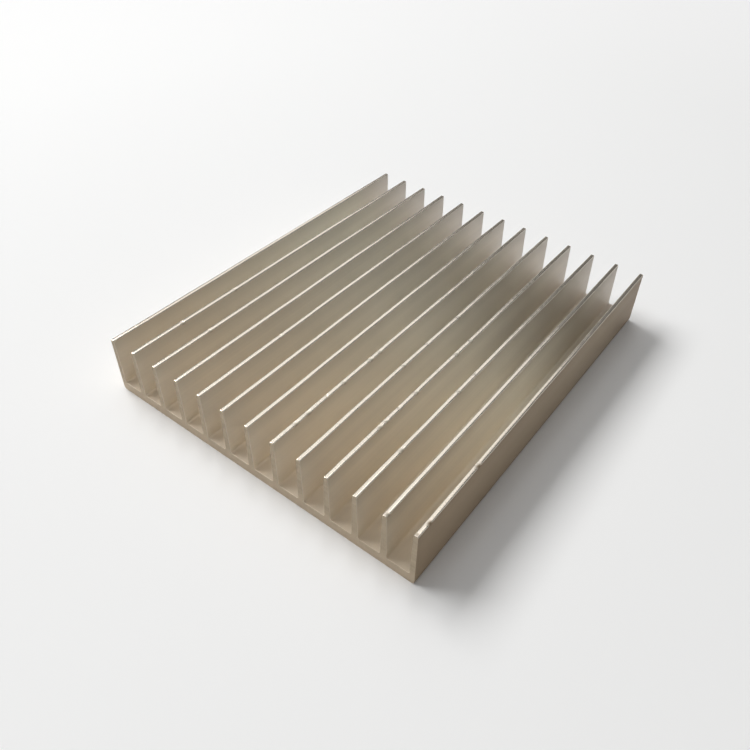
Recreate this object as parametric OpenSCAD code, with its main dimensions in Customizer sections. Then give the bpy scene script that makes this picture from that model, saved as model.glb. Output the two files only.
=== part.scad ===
// Extruded heat sink: a flat base plate carrying straight parallel fins.
// The section is drawn across the fins, from the underside up, and extruded
// along Y. The origin is the centre of the underside and the fins point up +Z.

/* [Overall] */
// Width across the fins
sink_width = 100; // [80:1:200]
// Length of the cut piece, along the extrusion
sink_length = 120; // [20:1:400]
// Height from the underside to the fin tips
sink_height = 18; // [12:0.5:40]

/* [Base] */
// Thickness of the base plate between the fins
base_thickness = 3; // [2:0.1:8]
// Radius of the two lower outside corners
corner_radius = 1; // [0.4:0.1:1.8]

/* [Fins] */
// Number of fins, with the two outer ones flush with the sides
fin_count = 13; // [3:1:16]
// Thickness of a fin at its tip
tip_thickness = 1.2; // [0.8:0.1:1.5]
// Thickness of a fin where it meets the base
root_thickness = 1.8; // [1.5:0.1:2.4]
// Radius of the long edges of a fin's tip
tip_radius = 0.3; // [0.1:0.05:0.35]
// Fillet radius between a fin and the base
root_fillet = 0.6; // [0.2:0.1:1]

/* [Hidden] */
$fn = 64;

metal = [0.66, 0.62, 0.54];
half_width = sink_width / 2;

// The fins divide the width evenly, measured between the middles of their tips.
pitch = (sink_width - tip_thickness) / (fin_count - 1);
channel_count = fin_count - 1;

// Half a channel: the floor is narrower than the mouth by the fins' taper.
half_floor = (pitch - root_thickness) / 2;
half_mouth = (pitch - tip_thickness) / 2;
fin_height = sink_height - base_thickness;
taper = atan((half_mouth - half_floor) / fin_height);

// Centre of the fillet circle, which touches the floor and the channel's wall.
fillet_x = half_floor - root_fillet * (1 - sin(taper)) / cos(taper);
fillet_z = base_thickness + root_fillet;

// Centre of the tip circle, which touches the channel's wall and the fin's top.
tip_z = sink_height - tip_radius;
tip_x = half_floor + (tip_radius + (tip_z - base_thickness) * sin(taper)) / cos(taper);

// Rise of the channel cut above the fin tips, so that it opens cleanly
mouth_clearance = 1;

// Half a channel's outline, from the end of its flat floor: fillet, wall and tip.
// A straight step joins the two points where each round's circle touches.
half_channel = [
    [fillet_x, base_thickness],
    [fillet_x + root_fillet * cos(taper), fillet_z - root_fillet * sin(taper)],
    [tip_x - tip_radius * cos(taper), tip_z + tip_radius * sin(taper)],
    [tip_x, sink_height],
    [tip_x, sink_height + mouth_clearance]
];

function mirrored(points) = [for (i = [len(points) - 1 : -1 : 0]) [-points[i].x, points[i].y]];

// A circle of the given radius on both sides of the middle.
module circle_pair(x, z, radius) {
    for (side = [-1, 1])
        translate([side * x, z])
            circle(radius);
}

// The plain bar that the channels divide, with round lower corners and upper edges.
module blank_profile() {
    half_blank = [
        [half_width - corner_radius, 0],
        [half_width, corner_radius],
        [half_width, tip_z],
        [half_width - tip_radius, sink_height]
    ];
    polygon(concat(half_blank, mirrored(half_blank)));
    circle_pair(half_width - corner_radius, corner_radius, corner_radius);
    circle_pair(half_width - tip_radius, tip_z, tip_radius);
}

// One air channel between two fins, with round roots, that leaves the fin tips round.
module channel_profile() {
    difference() {
        union() {
            polygon(concat(half_channel, mirrored(half_channel)));
            circle_pair(fillet_x, fillet_z, root_fillet);
        }
        circle_pair(tip_x, tip_z, tip_radius);
    }
}

// The extrusion's whole section.
module section_profile() {
    difference() {
        blank_profile();
        for (i = [0 : channel_count - 1])
            translate([(i - (channel_count - 1) / 2) * pitch, 0])
                channel_profile();
    }
}

module heat_sink() {
    color(metal)
        rotate([90, 0, 0])
            linear_extrude(sink_length, center = true)
                section_profile();
}

heat_sink();
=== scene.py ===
import math
import bpy
import numpy as np
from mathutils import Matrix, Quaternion, Vector


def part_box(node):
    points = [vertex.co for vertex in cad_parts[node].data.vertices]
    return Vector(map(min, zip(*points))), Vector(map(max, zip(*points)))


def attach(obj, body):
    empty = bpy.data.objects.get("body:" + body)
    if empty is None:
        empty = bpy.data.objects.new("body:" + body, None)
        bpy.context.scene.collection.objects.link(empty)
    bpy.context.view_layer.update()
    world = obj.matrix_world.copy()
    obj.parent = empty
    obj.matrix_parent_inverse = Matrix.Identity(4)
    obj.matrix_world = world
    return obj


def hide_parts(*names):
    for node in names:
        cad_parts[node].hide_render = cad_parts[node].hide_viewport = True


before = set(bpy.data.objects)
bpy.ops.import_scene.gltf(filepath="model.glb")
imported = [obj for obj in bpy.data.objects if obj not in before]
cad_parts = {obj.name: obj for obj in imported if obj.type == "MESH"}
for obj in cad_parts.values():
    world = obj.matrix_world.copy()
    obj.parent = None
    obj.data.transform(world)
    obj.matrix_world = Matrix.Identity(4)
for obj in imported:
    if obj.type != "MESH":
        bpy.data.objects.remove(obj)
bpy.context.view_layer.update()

# An extruded heat sink: one aluminium bar, drawn along Y and sawn square at both ends.
# Every length is in metres. X runs across the fins, and Z from the base to the fin tips.

boxLow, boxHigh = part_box("heat_sink")
scene = bpy.context.scene
mm = 0.001
print("frame loaded:", [round(side / mm, 2) for side in boxHigh - boxLow], "mm")

# The drawn section
section = {
    "finCount": 13,
    "tipThickness": 1.2 * mm,
    "rootThickness": 1.8 * mm,
    "baseThickness": 3.0 * mm,
    "tipRadius": 0.3 * mm,
    "rootFillet": 0.6 * mm,
    "cornerRadius": 1.0 * mm,
    "tipSteps": 4,          # facets in the round of one tip edge
    "filletSteps": 4,       # facets in one root fillet
    "cornerSteps": 5,       # facets in one lower corner
    "tipBand": 0.9 * mm,    # height of the finely divided band under a tip
    "holdBack": 0.35 * mm,  # how far a holding row lies from the end of a round
    "baseColumns": 12,      # columns across the underside
}


def arc(centreX, centreZ, radius, startDeg, endDeg, steps):
    # point = centre + radius * (cos a, sin a), with a going evenly from start to end
    a = np.radians(np.linspace(startDeg, endDeg, steps + 1))
    return np.stack([centreX + radius * np.cos(a), centreZ + radius * np.sin(a)], 1)


def finSide(s, height, tapered):
    # Right half of one fin, from its root to the middle of its tip, as (distance, height):
    # a wall that leans in by (root - tip) / 2 over the fin's height, with a tip round that
    # touches the wall and the top, and at the foot a fillet that touches the floor. An outer
    # fin has an upright wall and a lower corner instead. With it goes the number of points
    # before the finely divided band, which starts at the last point of the wall.
    base = s["baseThickness"]
    tipHalf = s["tipThickness"] / 2
    rootHalf = s["rootThickness"] / 2 if tapered else tipHalf
    lean = math.atan((rootHalf - tipHalf) / (height - base))
    leanDeg = math.degrees(lean)
    tipR = s["tipRadius"]
    tipZ = height - tipR
    tipX = rootHalf - (tipZ - base) * math.tan(lean) - tipR / math.cos(lean)
    tip = arc(tipX, tipZ, tipR, leanDeg, 90, s["tipSteps"])

    def onWall(z):
        # distance = root half - height above the base * tan(lean)
        return [rootHalf - (z - base) * math.tan(lean), z]

    if tapered:
        fillet = s["rootFillet"]
        footX = rootHalf + fillet * (1 - math.sin(lean)) / math.cos(lean)
        foot = arc(footX, base + fillet, fillet, -90, leanDeg - 180, s["filletSteps"])
        lowZ = base + fillet + s["holdBack"]
    else:
        corner = s["cornerRadius"]
        foot = arc(tipHalf - corner, corner, corner, -90, 0, s["cornerSteps"])
        lowZ = corner + s["holdBack"]
    walls = np.array([onWall(lowZ), onWall((base + height) / 2), onWall(height - s["tipBand"])])
    return np.concatenate([foot, walls, tip]), len(foot) + len(walls) - 1


def drawnSection(s, width, height):
    # The closed outline, clockwise seen from the near end: up the left side, over each fin
    # and floor in turn, down the right side and back along the underside. A row is
    # (x, z, finely divided or not, fin number, side of that fin), with -1 for a fin number
    # on the underside. A fin's middle = (its number - half of the last number) * the pitch.
    inner, innerFine = finSide(s, height, True)
    outer, outerFine = finSide(s, height, False)
    count = s["finCount"]
    pitch = (width - s["tipThickness"]) / (count - 1)
    rows = []
    for i in range(count):
        middle = (i - (count - 1) / 2) * pitch
        left, leftFine = (outer, outerFine) if i == 0 else (inner, innerFine)
        right, rightFine = (outer, outerFine) if i == count - 1 else (inner, innerFine)
        fin = np.concatenate([left * (-1, 1), right[::-1]])
        up = np.arange(len(left)) >= leftFine
        down = np.arange(len(right))[::-1] >= rightFine
        side = np.concatenate([-np.ones(len(left)), np.ones(len(right))])
        place = [middle + fin[:, 0], fin[:, 1], np.concatenate([up, down])]
        rows.append(np.stack(place + [np.full(len(side), i), side], 1))
        if i < count - 1:
            reach = middle + right[0, 0] + s["holdBack"]
            ahead = middle + pitch - inner[0, 0] - s["holdBack"]
            floorZ = s["baseThickness"]
            rows.append(np.array([[reach, floorZ, 0, i, 1], [ahead, floorZ, 0, i + 1, -1]]))
    halfSpan = width / 2 - s["cornerRadius"] - s["holdBack"]
    under = np.linspace(halfSpan, -halfSpan, s["baseColumns"] + 1)
    blank = np.zeros(len(under))
    rows.append(np.stack([under, blank, blank, blank - 1, blank], 1))
    return np.concatenate(rows)


# The bar carried along that section, with its small faults
bar = {
    "fineStep": 0.3 * mm,        # spacing of the stations along a tip
    "finePerCoarse": 8,          # tip stations to one wall station
    "edgeBreak": 0.05 * mm,      # bevel that deburring leaves at the sawn ends
    "edgeRange": (0.5, 1.0),     # the part of it that is cut away, which varies round the rim
    "edgeHold": 0.12 * mm,       # how far past the bevel its brightness reaches
    "edgeWear": 0.05,            # how bare the bevel is, from 0 to 1
    "edgeDullAndShade": 0.8,             # how dull its rim is, and how much painted shade darkens it against the bevel's highlight, from 0 to 1
    "sway": 0.05 * mm,           # how far a tip wanders sideways
    "swayLength": 70 * mm,       # its longest wave
    "swayWaves": 3,              # how many waves it is made of
    "ripple": 0.015 * mm,        # how far a tip wanders in height, either way
    "rippleLength": 23 * mm,
    "rippleWaves": 4,
    "waveRange": (0.8, 1.25),    # how far each wave's pitch may be off, as a factor
    "knockSlant": (0.65, 0.35),  # share of a knock's depth midway, and its change to an edge
    "knockSpread": 0.1,          # part of a knock's depth that goes sideways
    "scuffs": {8: 0.5, 9: 0.3, 10: 0.5, 11: 0.2, 13: 0.15},  # by fin from the left, from 0 to 1
    "plainScuff": 0.0,           # and how scuffed the other tips are
    "leftSkin": 0.5,             # how far the left side takes the outer sides' painted shade
    "seed": 7,
}

# Knocks in the fin tips: fin from the left, distance from the near end in mm,
# depth in mm, half length in mm, and the side whose edge is lower: 1 right, -1 left
knocks = [
    (2, 16.5, 0.10, 0.5, 1), (2, 36, 0.08, 0.6, 1),
    (3, 19, 0.07, 0.5, 1), (5, 29, 0.08, 0.6, -1),
    (8, 8, 0.12, 0.7, 1), (8, 12.5, 0.13, 0.9, 1), (8, 19.5, 0.10, 0.5, -1),
    (8, 26, 0.12, 0.6, 1), (8, 37, 0.13, 0.8, 1), (8, 41, 0.09, 0.5, 1),
    (9, 40.5, 0.08, 0.6, 1), (9, 51.5, 0.08, 0.5, -1), (9, 66.5, 0.07, 0.5, 1),
    (10, 19.5, 0.12, 0.8, 1), (10, 22, 0.10, 0.6, 1), (10, 27.5, 0.11, 0.7, -1),
    (10, 34.5, 0.12, 0.7, 1), (10, 53, 0.09, 0.6, 1), (10, 60, 0.08, 0.5, 1),
    (11, 17, 0.11, 0.8, 1), (11, 41.5, 0.08, 0.6, 1), (11, 49.5, 0.08, 0.5, -1),
    (12, 0.8, 0.10, 0.5, 1),
    (13, 0.6, 0.06, 0.4, -1), (13, 4.5, 0.05, 0.7, 1), (13, 24, 0.09, 0.9, 1),
]


def wander(y, rng, longest, waves, waveRange):
    # A smooth random line: a sum of sines, each about half as long and half as high as the
    # last, scaled to lie between -1 and 1.
    total = np.zeros_like(y)
    for k in range(waves):
        phase = rng.uniform(0, 2 * math.pi)
        quicker = rng.uniform(*waveRange)
        total += 0.5 ** k * np.sin(2 ** k * quicker * 2 * math.pi * y / longest + phase)
    return total / np.abs(total).max()


def stations(b, length):
    # Distances along the bar: the two sawn faces, the ends of their bevels, and between
    # them even fine steps, of which one in so many is a coarse station as well. Those at the
    # faces and bevels are all coarse.
    bevel = length / 2 - b["edgeBreak"]
    inside = bevel - b["edgeHold"]
    coarse = round(2 * inside / b["fineStep"] / b["finePerCoarse"])
    fine = np.linspace(-inside, inside, coarse * b["finePerCoarse"] + 1)
    ends = [-length / 2, -bevel]
    y = np.concatenate([ends, fine, np.negative(ends[::-1])])
    isCoarse = np.ones(len(y), bool)
    isCoarse[len(ends):-len(ends)] = np.arange(len(fine)) % b["finePerCoarse"] == 0
    return y, isCoarse


def barSurface(s, b, rows, y, width, height):
    # point(row, station) = the section's point carried along Y + its fin's sway, which grows
    # with the square of the height above the base, + its tip's ripple - the knocks, each a
    # bell curve along Y. The two end rings then shrink into the metal as a bevel, square to
    # the line between a point's two neighbours. The points also carry shares for the finish.
    x0, z0, _, fin, side = rows.T
    rng = np.random.default_rng(b["seed"])
    lift = np.clip((z0 - s["baseThickness"]) / (height - s["baseThickness"]), 0, 1)
    inBand = np.clip((z0 - height + s["tipBand"]) / (s["tipBand"] - s["tipRadius"]), 0, 1)
    x = np.repeat(x0[:, None], len(y), 1)
    z = np.repeat(z0[:, None], len(y), 1)
    knocked = np.zeros_like(x)
    last = s["finCount"] - 1
    for i in range(s["finCount"]):
        mine = (fin == i)[:, None]
        sway = wander(y, rng, b["swayLength"], b["swayWaves"], b["waveRange"]) * b["sway"]
        if i in (0, last):
            sway = np.abs(sway) * (1 if i == 0 else -1)  # the outer fins only lean inwards
        ripple = wander(y, rng, b["rippleLength"], b["rippleWaves"], b["waveRange"])
        x += mine * lift[:, None] ** 2 * sway
        z += mine * inBand[:, None] * (ripple - ripple.max()) * b["ripple"]
    midway, slant = b["knockSlant"]
    for number, place, depth, halfLength, lowSide in knocks:
        mine = (fin == number - 1)[:, None]
        bell = np.exp(-((y - y[0] - place * mm) / (halfLength * mm)) ** 2)
        acrossTip = midway + slant * lowSide * side
        sink = mine * (inBand * acrossTip)[:, None] * bell
        z -= sink * depth * mm
        x += sink * side[:, None] * depth * mm * b["knockSpread"]
        knocked = np.maximum(knocked, sink)
    alongX = np.roll(x0, -1) - np.roll(x0, 1)
    alongZ = np.roll(z0, -1) - np.roll(z0, 1)
    span = np.hypot(alongX, alongZ)
    rims = [0, -1]
    bevels = [0, 1, -2, -1]
    uneven = rng.uniform(*b["edgeRange"], (len(x0), len(rims))) * b["edgeBreak"]
    x[:, rims] += (alongZ / span)[:, None] * uneven
    z[:, rims] -= (alongX / span)[:, None] * uneven
    wear = np.zeros_like(x)
    wear[:, bevels] = b["edgeWear"]
    # the rims join the knock mask: duller, and darkened by painted shade against the bevel's highlight
    knocked[:, rims] = np.maximum(knocked[:, rims], b["edgeDullAndShade"])
    # crown: how far up and round a tip. skin: on an outer side. root: on a floor or a fillet.
    # scuff, knocked, wear: how scuffed, how deep in a knock or at a rim, and how bare an edge.
    crown = np.clip((z0 - height) / s["tipRadius"] + 1, 0, 1)
    outside = width / 2 - s["tipThickness"] / 2
    skin = (x0 > outside) + (x0 < -outside) * b["leftSkin"]
    root = np.clip((s["baseThickness"] + s["rootFillet"] - z0) / s["rootFillet"], 0, 1)
    root[z0 < s["baseThickness"] - s["tipRadius"]] = 0  # not on the lower corners or beneath
    scuff = np.array([b["scuffs"].get(number + 1, b["plainScuff"]) for number in fin]) * inBand
    marks = {"crown": crown, "skin": skin, "root": root, "scuff": scuff}
    layers = {name: np.repeat(values[:, None], len(y), 1) for name, values in marks.items()}
    layers.update(knocked=knocked, wear=wear)
    return np.clip(x, -width / 2, width / 2), np.clip(z, 0, height), layers


def barFaces(isFine, isCoarse):
    # Faces between neighbouring rows: two fine rows have a quad at every station and two
    # coarse rows one at every coarse station. Where they meet, one face takes in the fine
    # points of its span. The two sawn faces close the ends.
    used = isFine[:, None] | isCoarse[None, :]
    number = np.cumsum(used.ravel()).reshape(used.shape) - 1
    rowA = np.arange(len(isFine))
    rowB = (rowA + 1) % len(isFine)
    bothFine = isFine[rowA] & isFine[rowB]
    mixed = isFine[rowA] ^ isFine[rowB]
    every = np.arange(len(isCoarse))
    stops = every[isCoarse]

    def quads(chosen, at):
        # corners = the two rows at one station, then back along them at the next
        a, b = number[rowA[chosen]][:, at], number[rowB[chosen]][:, at]
        return np.stack([a[:, :-1], b[:, :-1], b[:, 1:], a[:, 1:]], -1).reshape(-1, 4)

    groups = [quads(bothFine, every), quads(~bothFine & ~mixed, stops)]
    plain = 2  # spans at each end that have no fine points: the bevel and its hold
    per = stops[plain + 1] - stops[plain]
    start = stops[plain:-plain - 1]
    along = start[:, None] + np.arange(per + 1)
    for r in np.flatnonzero(mixed):
        a, b = rowA[r], rowB[r]
        for ends in (stops[:plain + 1], stops[-plain - 1:]):
            groups.append(quads(np.array([r]), ends))
        coarse = a if isFine[b] else b
        first, after = number[coarse, start][:, None], number[coarse, start + per][:, None]
        if isFine[b]:
            parts = [first, number[b][along], after]
        else:
            parts = [first, after, number[a][along[:, ::-1]]]
        groups.append(np.concatenate(parts, 1))
    return used, groups, [number[::-1, 0], number[:, -1]]


def buildBar():
    # mesh = the used points of the surface, its faces, and the two sawn faces last, with what
    # each point carries for the finish
    length, width = boxHigh.y - boxLow.y, boxHigh.x - boxLow.x
    rows = drawnSection(section, width, boxHigh.z)
    y, isCoarse = stations(bar, length)
    x, z, layers = barSurface(section, bar, rows, y, width, boxHigh.z)
    used, groups, caps = barFaces(rows[:, 2] > 0, isCoarse)
    grid = np.stack([x, np.broadcast_to(y, x.shape), z], -1)
    faces = [face for group in groups for face in group.tolist()] + [cap.tolist() for cap in caps]
    mesh = bpy.data.meshes.new("heatSinkBar")
    mesh.from_pydata(grid[used].tolist(), [], faces)
    mesh.update()
    for name, values in layers.items():
        layer = mesh.attributes.new(name, "FLOAT", "POINT")
        layer.data.foreach_set("value", values[used].astype(np.float32))
    isSawn = np.zeros(len(faces), np.int32)
    isSawn[-len(caps):] = 1
    mesh.polygons.foreach_set("use_smooth", isSawn == 0)
    mesh.polygons.foreach_set("material_index", isSawn)
    piece = bpy.data.objects.new("heatSinkBody", mesh)
    scene.collection.objects.link(piece)
    triangles = sum(len(face) - 2 for face in faces)
    print("bar built:", used.sum(), "points,", triangles, "triangles")
    return piece


# The finishes, first that of the drawn skin. A noise has its density to the metre,
# and a stretch under 1 draws it out along that axis. A range says where something starts and
# where it is full, and the last two of four values say how much it is there.
drawn = {
    "lightTone": (0.90, 0.876, 0.801),
    "darkTone": (0.794, 0.77, 0.705),
    "bareTone": (0.85, 0.768, 0.66),      # where the tips are rubbed bright
    "rootPaintedShade": (0.83, 0.80, 0.77),      # painted shade on the channel floors and fillets next to the walls
    "outerPaintedShade": (0.47, 0.388, 0.30),     # painted shade on the outer sides next to the channels, warm as a shaded floor's reflection
    # darker in the knocks, and painted shade at the sawn rims against the bevel's highlight
    "knockAndRimShade": (0.70, 0.67, 0.62),
    "metallic": (0.4, 0.93),              # dulled by its oxide, and where it is rubbed bare
    "rough": (0.50, 0.62),                # on the smoothest and the roughest lines
    "bareRough": 0.13,
    "dieLines": {"density": 1500, "stretch": (1, 0.004, 1), "detail": 3},
    "dieDepth": 0.006 * mm,
    "bands": {"density": 260, "stretch": (1, 0.02, 1), "detail": 2},
    "lineRange": (0.7, 1.3),              # of the die lines and the bands together
    "clouds": {"density": 35, "stretch": (1, 0.5, 1), "detail": 2},
    "cloudRange": (0.35, 0.65),
    "crownRange": (0.2, 0.6),             # how far round a tip's edge the rubbing reaches
    "rubRange": (0.3, 0.6, 0.85, 1.0),    # how rubbed the die lines on a tip are
    "specks": {"density": 1800, "stretch": (1, 1, 1), "detail": 2},
    "speckRange": (0.5, 0.62, 0.0, 0.5),  # how dull the specks on a scuffed tip are
}

# Painted light and shade along and up the bar: each grows along one axis over its reach, and
# multiplies the tone
paintedShading = {
    # a painted warm reflection towards the near end
    "nearPaintedWarmth": {"axis": "Y", "reach": (20 * mm, boxLow.y), "shade": (1.0, 0.94, 0.88)},
    # painted shade towards the far end
    "far": {"axis": "Y", "reach": (40 * mm, 58 * mm), "shade": (0.87, 0.83, 0.825)},
    # painted shade at the near end
    "near": {"axis": "Y", "reach": (-48 * mm, -60 * mm), "shade": (0.89, 0.88, 0.865)},
    # painted shade at the tops of the walls
    "upper": {"axis": "Z", "reach": (13.5 * mm, 17.4 * mm), "shade": (0.865, 0.865, 0.86)},
    # painted light on the lower walls
    "lower": {"axis": "Z", "reach": (10 * mm, 4 * mm), "shade": (1.12, 1.12, 1.11)},
}

# Patches of painted shade on the channel walls: each grows across the fins and along them, and may end
# again further along, later at the roots than at the tips
paintedShadePatches = {
    "far": {
        "across": (-50 * mm, 42 * mm),
        "along": (0 * mm, 33 * mm),
        "end": (28 * mm, 46 * mm),
        "slope": 1.2,               # how much later it ends, to each length of depth
        "shade": (0.73, 0.70, 0.665),
    },
    "near": {
        "across": (10 * mm, 48 * mm),
        "along": (-25 * mm, -62 * mm),
        "end": (70 * mm, 80 * mm),  # beyond the bar: this one has no end
        "slope": 0,
        "shade": (0.84, 0.83, 0.81),
    },
}

# The sawn ends: their tone, and a lighter one low down, across the base, painted light against the
# shade by the floor
sawn = {
    "lightTone": (0.476, 0.391, 0.281),
    "darkTone": (0.399, 0.326, 0.235),
    # painted light: a lighter tone low across the base, against the shade by the floor
    "basePaintedLight": (0.545, 0.45, 0.335),
    "baseReach": (6 * mm, 2 * mm),
    "metallic": 0.6,
    "rough": 0.6,
    "cuts": {"density": 900, "stretch": (0.12, 1, 1), "detail": 3, "turn": 12},
    "markRange": (0.3, 0.7),
    "cutDepth": 0.01 * mm,
}


def newMaterial(name):
    # a material whose tree has the usual shader and output
    material = bpy.data.materials.new(name)
    material.use_nodes = True
    tree = material.node_tree
    return material, tree, tree.nodes["Principled BSDF"]


def addNode(tree, kind, inputs, **settings):
    # a node with its settings, whose inputs are numbers or links from other nodes
    made = tree.nodes.new(kind)
    for key, value in settings.items():
        setattr(made, key, value)
    for key, value in inputs.items():
        if isinstance(value, bpy.types.NodeSocket):
            tree.links.new(value, made.inputs[key])
        else:
            made.inputs[key].default_value = value
    return made


def noise(tree, density, stretch, detail, turn=0):
    # soft noise of the object's own coordinates, scaled on each axis, then turned about Y by
    # some degrees. The turn keeps the noise's own grid out of line with the bar, and its marks
    # still lie along the axis that they are drawn out on.
    place = tree.nodes.new("ShaderNodeTexCoord").outputs["Object"]
    placed = {"Vector": place, "Scale": stretch, "Rotation": (0, math.radians(turn), 0)}
    mapping = addNode(tree, "ShaderNodeMapping", placed)
    inputs = {"Vector": mapping.outputs["Vector"], "Scale": density, "Detail": detail}
    return addNode(tree, "ShaderNodeTexNoise", inputs).outputs["Fac"]


def spread(tree, value, low, high, toLow=0.0, toHigh=1.0):
    # result = toLow + (value - low) / (high - low) * (toHigh - toLow), held at its ends
    inputs = {"Value": value, "From Min": low, "From Max": high, "To Min": toLow, "To Max": toHigh}
    return addNode(tree, "ShaderNodeMapRange", inputs).outputs["Result"]


def combine(tree, operation, a, b):
    # result = a operation b
    return addNode(tree, "ShaderNodeMath", {0: a, 1: b}, operation=operation).outputs["Value"]


def mixNumber(tree, share, a, b):
    # result = a * (1 - share) + b * share
    inputs = {"Factor": share, "A": a, "B": b}
    return addNode(tree, "ShaderNodeMix", inputs, data_type="FLOAT").outputs["Result"]


def mixColour(tree, share, a, b, blend="MIX"):
    # colour = a * (1 - share) + (a blend b) * share
    made = tree.nodes.new("ShaderNodeMix")
    made.data_type = "RGBA"
    made.blend_type = blend
    colours = [i for i in made.inputs if i.type == "RGBA"]
    for socket, value in zip([made.inputs["Factor"]] + colours, (share, a, b)):
        if isinstance(value, bpy.types.NodeSocket):
            tree.links.new(value, socket)
        elif isinstance(value, tuple):
            socket.default_value = (*value, 1)
        else:
            socket.default_value = value
    return next(o for o in made.outputs if o.type == "RGBA")


def pointValue(tree, name):
    # the number that the mesh carries at each point under this name
    return addNode(tree, "ShaderNodeAttribute", {}, attribute_name=name).outputs["Fac"]


def alongAxis(tree, axis, low, high):
    # share = 0 at the low end of one object coordinate, rising evenly to 1 at the high end
    place = tree.nodes.new("ShaderNodeTexCoord").outputs["Object"]
    split = addNode(tree, "ShaderNodeSeparateXYZ", {"Vector": place})
    return spread(tree, split.outputs[axis], low, high)


def addBump(tree, shader, height, depth):
    # the surface leans as a relief of this depth would
    bump = addNode(tree, "ShaderNodeBump", {"Height": height, "Strength": 1.0, "Distance": depth})
    tree.links.new(bump.outputs["Normal"], shader.inputs["Normal"])


def patch(tree, p):
    # share of a patch of painted shade = growth across * growth along * (1 - end), where the end is
    # read at y + slope * (z - the fins' top)
    place = tree.nodes.new("ShaderNodeTexCoord").outputs["Object"]
    split = addNode(tree, "ShaderNodeSeparateXYZ", {"Vector": place})
    x, y, z = (split.outputs[axis] for axis in "XYZ")
    grown = combine(tree, "MULTIPLY", spread(tree, x, *p["across"]), spread(tree, y, *p["along"]))
    depth = combine(tree, "MULTIPLY", combine(tree, "SUBTRACT", z, boxHigh.z), p["slope"])
    kept = spread(tree, combine(tree, "ADD", y, depth), *p["end"], 1, 0)
    return combine(tree, "MULTIPLY", grown, kept)


def drawnFinish():
    # tone = the mean of two shares, one of die lines + bands and one of clouds. It is then multiplied
    # by the painted light and shade along and up the bar, the patches of painted shade, the painted
    # shade of the outer sides and the roots, and a darkening in the knocks and, as painted shade, at
    # the sawn rims.
    # bare = share on the tip * (how rubbed its die lines are - scuff or knock), held from 0
    # to 1, or the edges' wear where that is more. With it, tone, metal and gloss go over to
    # those of bare metal.
    d = drawn
    material, tree, shader = newMaterial("drawnAluminium")
    dieLines = noise(tree, **d["dieLines"])
    bands = noise(tree, **d["bands"])
    clouds = noise(tree, **d["clouds"])
    lines = spread(tree, combine(tree, "ADD", dieLines, bands), *d["lineRange"])
    both = combine(tree, "ADD", lines, spread(tree, clouds, *d["cloudRange"]))
    tone = combine(tree, "MULTIPLY", both, 0.5)
    colour = mixColour(tree, tone, d["darkTone"], d["lightTone"])
    # painted light and shade along and up the bar
    for t in paintedShading.values():
        share = alongAxis(tree, t["axis"], *t["reach"])
        colour = mixColour(tree, share, colour, t["shade"], "MULTIPLY")
    skin = pointValue(tree, "skin")
    inside = combine(tree, "SUBTRACT", 1, skin)
    # patches of painted shade, kept off the outer sides
    for p in paintedShadePatches.values():
        share = combine(tree, "MULTIPLY", inside, patch(tree, p))
        colour = mixColour(tree, share, colour, p["shade"], "MULTIPLY")
    # painted shade on the outer sides
    colour = mixColour(tree, skin, colour, d["outerPaintedShade"], "MULTIPLY")
    # painted shade on the channel floors and fillets
    colour = mixColour(tree, pointValue(tree, "root"), colour, d["rootPaintedShade"], "MULTIPLY")
    onTip = spread(tree, pointValue(tree, "crown"), *d["crownRange"])
    specks = spread(tree, noise(tree, **d["specks"]), *d["speckRange"])
    dulled = combine(tree, "MULTIPLY", pointValue(tree, "scuff"), specks)
    knocked = pointValue(tree, "knocked")
    dulled = combine(tree, "MAXIMUM", dulled, knocked)
    # darker in the knocks, and painted shade at the sawn rims
    colour = mixColour(tree, knocked, colour, d["knockAndRimShade"], "MULTIPLY")
    kept = combine(tree, "SUBTRACT", spread(tree, dieLines, *d["rubRange"]), dulled)
    rubbed = combine(tree, "MULTIPLY", onTip, spread(tree, kept, 0, 1))
    bare = combine(tree, "MAXIMUM", rubbed, pointValue(tree, "wear"))
    tree.links.new(mixColour(tree, bare, colour, d["bareTone"]), shader.inputs["Base Color"])
    tree.links.new(spread(tree, bare, 0, 1, *d["metallic"]), shader.inputs["Metallic"])
    rough = mixNumber(tree, bare, spread(tree, lines, 0, 1, *d["rough"]), d["bareRough"])
    tree.links.new(rough, shader.inputs["Roughness"])
    relief = combine(tree, "MULTIPLY", dieLines, combine(tree, "SUBTRACT", 1, onTip))
    addBump(tree, shader, relief, d["dieDepth"])
    return material


def sawnFinish():
    # tone follows the near-parallel marks that the blade leaves across the fins, and goes over to a
    # lighter one low down, across the base, which is painted light against the shade by the floor
    s = sawn
    material, tree, shader = newMaterial("sawnAluminium")
    marks = noise(tree, **s["cuts"])
    colour = mixColour(tree, spread(tree, marks, *s["markRange"]), s["darkTone"], s["lightTone"])
    # painted light low across the base
    colour = mixColour(tree, alongAxis(tree, "Z", *s["baseReach"]), colour, s["basePaintedLight"])
    tree.links.new(colour, shader.inputs["Base Color"])
    shader.inputs["Metallic"].default_value = s["metallic"]
    shader.inputs["Roughness"].default_value = s["rough"]
    addBump(tree, shader, marks, s["cutDepth"])
    return material


# The camera
view = {
    "place": (94.5 * mm, -134.7 * mm, 146.2 * mm),
    "azimuth": -34.43,    # degrees from +Y towards +X
    "elevation": -41.5,
    "roll": 2.93,
    "lens": 34.89,        # this and the next in millimetres
    "sensorWidth": 36,
    "shift": (-0.035, -0.033),
    "clip": (0.005, 20),  # nearest and farthest
}


def direction(azimuth, elevation):
    # unit vector = (sin a cos e, cos a cos e, sin e)
    a, e = math.radians(azimuth), math.radians(elevation)
    return Vector((math.sin(a) * math.cos(e), math.cos(a) * math.cos(e), math.sin(e)))


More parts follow.
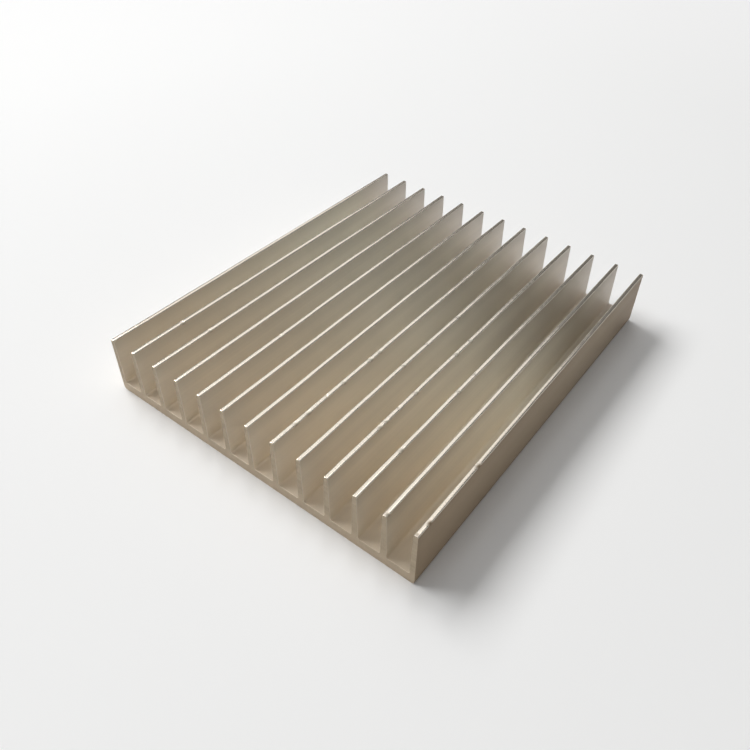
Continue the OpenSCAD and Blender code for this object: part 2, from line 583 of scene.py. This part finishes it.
def makeCamera():
    # looks along its direction, then turns about it by the roll
    data = bpy.data.cameras.new("viewCamera")
    data.sensor_width = view["sensorWidth"]
    data.lens = view["lens"]
    data.shift_x, data.shift_y = view["shift"]
    data.clip_start, data.clip_end = view["clip"]
    camera = bpy.data.objects.new("viewCamera", data)
    scene.collection.objects.link(camera)
    aim = direction(view["azimuth"], view["elevation"]).to_track_quat("-Z", "Y")
    camera.rotation_mode = "QUATERNION"
    camera.rotation_quaternion = aim @ Quaternion((0, 0, 1), math.radians(view["roll"]))
    camera.location = view["place"]
    scene.camera = camera


# The floor and the room
studio = {
    "floorTone": (0.96, 0.96, 0.955),
    "floorRough": 0.9,
    "floorGloss": 0.0,
    "floorSize": 12.0,
    "roomTone": (1, 1, 1),
    "roomLight": 0.1,
    "backdrop": 0.9,               # brightness of the pale surroundings, as they are seen
    "backdropFrom": (0.25, 0.65),  # distances at which the floor goes over to them
    "backdropLift": (0.34, 0.21),  # sines of the elevations at which the room does
}

# The lamps: each soft box at an azimuth from +Y towards +X, an elevation and a distance from
# the middle of the base, facing it, turned about that line, with its size and brightness.
# Angles are in degrees.
softBoxes = {
    "sideBox": {
        "azimuth": -95, "elevation": 49, "distance": 2.0, "turn": 0,
        "size": (1.5, 0.8), "radiance": 8.4,
    },
    "rearBox": {
        "azimuth": -45, "elevation": 50, "distance": 2.4, "turn": -40,
        "size": (1.6, 1.6), "radiance": 0.95,
    },
    "frontBox": {
        "azimuth": 178, "elevation": 48, "distance": 2.2, "turn": 0,
        "size": (1.2, 0.8), "radiance": 1.4,
    },
    "topBox": {
        "azimuth": 0, "elevation": 76, "distance": 2.0, "turn": 0,
        "size": (1.2, 1.2), "radiance": 1.0,
    },
}


def seenShare(tree):
    # share = 1 for a ray from the camera or off a glossy or clear surface, and 0 for any other
    rays = tree.nodes.new("ShaderNodeLightPath").outputs
    seen = combine(tree, "MAXIMUM", rays["Is Camera Ray"], rays["Is Glossy Ray"])
    return combine(tree, "MAXIMUM", seen, rays["Is Transmission Ray"])


def makeFloor():
    # a flat square at the underside's height, 0. Where it is seen, it goes over to the pale
    # backdrop further out: share = growth with the distance from the middle * seen share
    half = studio["floorSize"] / 2
    mesh = bpy.data.meshes.new("studioFloor")
    corners = [(-half, -half, 0), (half, -half, 0), (half, half, 0), (-half, half, 0)]
    mesh.from_pydata(corners, [], [(0, 1, 2, 3)])
    floor = bpy.data.objects.new("studioFloor", mesh)
    scene.collection.objects.link(floor)
    material, tree, shader = newMaterial("studioFloor")
    shader.inputs["Base Color"].default_value = (*studio["floorTone"], 1)
    shader.inputs["Roughness"].default_value = studio["floorRough"]
    shader.inputs["Specular IOR Level"].default_value = studio["floorGloss"]
    place = tree.nodes.new("ShaderNodeTexCoord").outputs["Object"]
    distance = addNode(tree, "ShaderNodeVectorMath", {0: place}, operation="LENGTH").outputs["Value"]
    share = combine(tree, "MULTIPLY", spread(tree, distance, *studio["backdropFrom"]), seenShare(tree))
    glow = addNode(tree, "ShaderNodeEmission", {"Strength": studio["backdrop"]}).outputs["Emission"]
    mixed = addNode(tree, "ShaderNodeMixShader", {0: share, 1: shader.outputs["BSDF"], 2: glow})
    tree.links.new(mixed.outputs["Shader"], tree.nodes["Material Output"].inputs["Surface"])
    mesh.materials.append(material)


def makeSoftBox(name, box):
    # power = radiance * pi * area, which gives a panel of that brightness facing the part
    width, depth = box["size"]
    data = bpy.data.lights.new(name, "AREA")
    data.shape = "RECTANGLE"
    data.size, data.size_y = width, depth
    data.energy = box["radiance"] * math.pi * width * depth
    light = bpy.data.objects.new(name, data)
    scene.collection.objects.link(light)
    towards = direction(box["azimuth"], box["elevation"])
    light.location = towards * box["distance"]
    light.rotation_mode = "QUATERNION"
    aim = (-towards).to_track_quat("-Z", "Y")
    light.rotation_quaternion = aim @ Quaternion((0, 0, 1), math.radians(box["turn"]))


def makeRoom():
    # an even, faint light from every side, and low down, where it is seen, the pale backdrop:
    # strength = room light * (1 - share) + backdrop * share, share = lowness * seen share
    world = bpy.data.worlds.new("studioRoom")
    world.use_nodes = True
    tree = world.node_tree
    background = tree.nodes["Background"]
    background.inputs["Color"].default_value = (*studio["roomTone"], 1)
    towards = tree.nodes.new("ShaderNodeTexCoord").outputs["Generated"]
    split = addNode(tree, "ShaderNodeSeparateXYZ", {"Vector": towards})
    low = spread(tree, split.outputs["Z"], *studio["backdropLift"])
    share = combine(tree, "MULTIPLY", low, seenShare(tree))
    strength = mixNumber(tree, share, studio["roomLight"], studio["backdrop"])
    tree.links.new(strength, background.inputs["Strength"])
    scene.world = world


makeCamera()
makeFloor()
for boxName, softBox in softBoxes.items():
    makeSoftBox(boxName, softBox)
makeRoom()
print("stage ready")

body = buildBar()
body.data.materials.append(drawnFinish())
body.data.materials.append(sawnFinish())
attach(body, "root")
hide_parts("heat_sink")
print("finishes on")

scene.view_settings.view_transform = "Standard"
